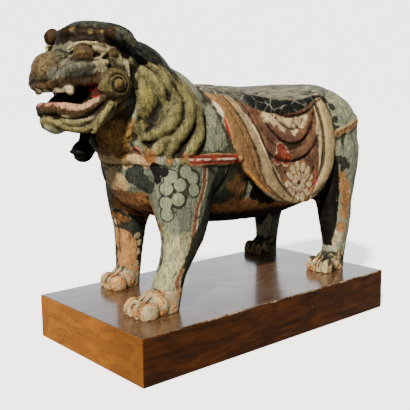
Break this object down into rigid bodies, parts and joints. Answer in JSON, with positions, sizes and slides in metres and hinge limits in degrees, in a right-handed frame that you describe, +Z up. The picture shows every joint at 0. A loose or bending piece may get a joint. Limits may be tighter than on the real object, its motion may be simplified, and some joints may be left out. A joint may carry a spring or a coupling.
{
  "type": "guardian lion",
  "caption": "Carved and painted wooden guardian lion wearing a saddle cloth, its mane in locks and its mouth open, standing on a rectangular varnished wooden plinth.",
  "frame": {"origin": "middle of the plinth's underside, on the surface that the piece stands on", "axes": "+X from the lion's head to its tail, along the plinth's long side; +Y toward the lion's right side; +Z up"},
  "size_m": [0.5533, 0.243, 0.4241],
  "materials": {
    "painted_wood": "worn matt paint over carved wood",
    "varnished_wood": "dark glossy varnish"
  },
  "bodies": {
    "root": {"lion": "painted_wood", "plinth": "varnished_wood"}
  },
  "joints": []
}
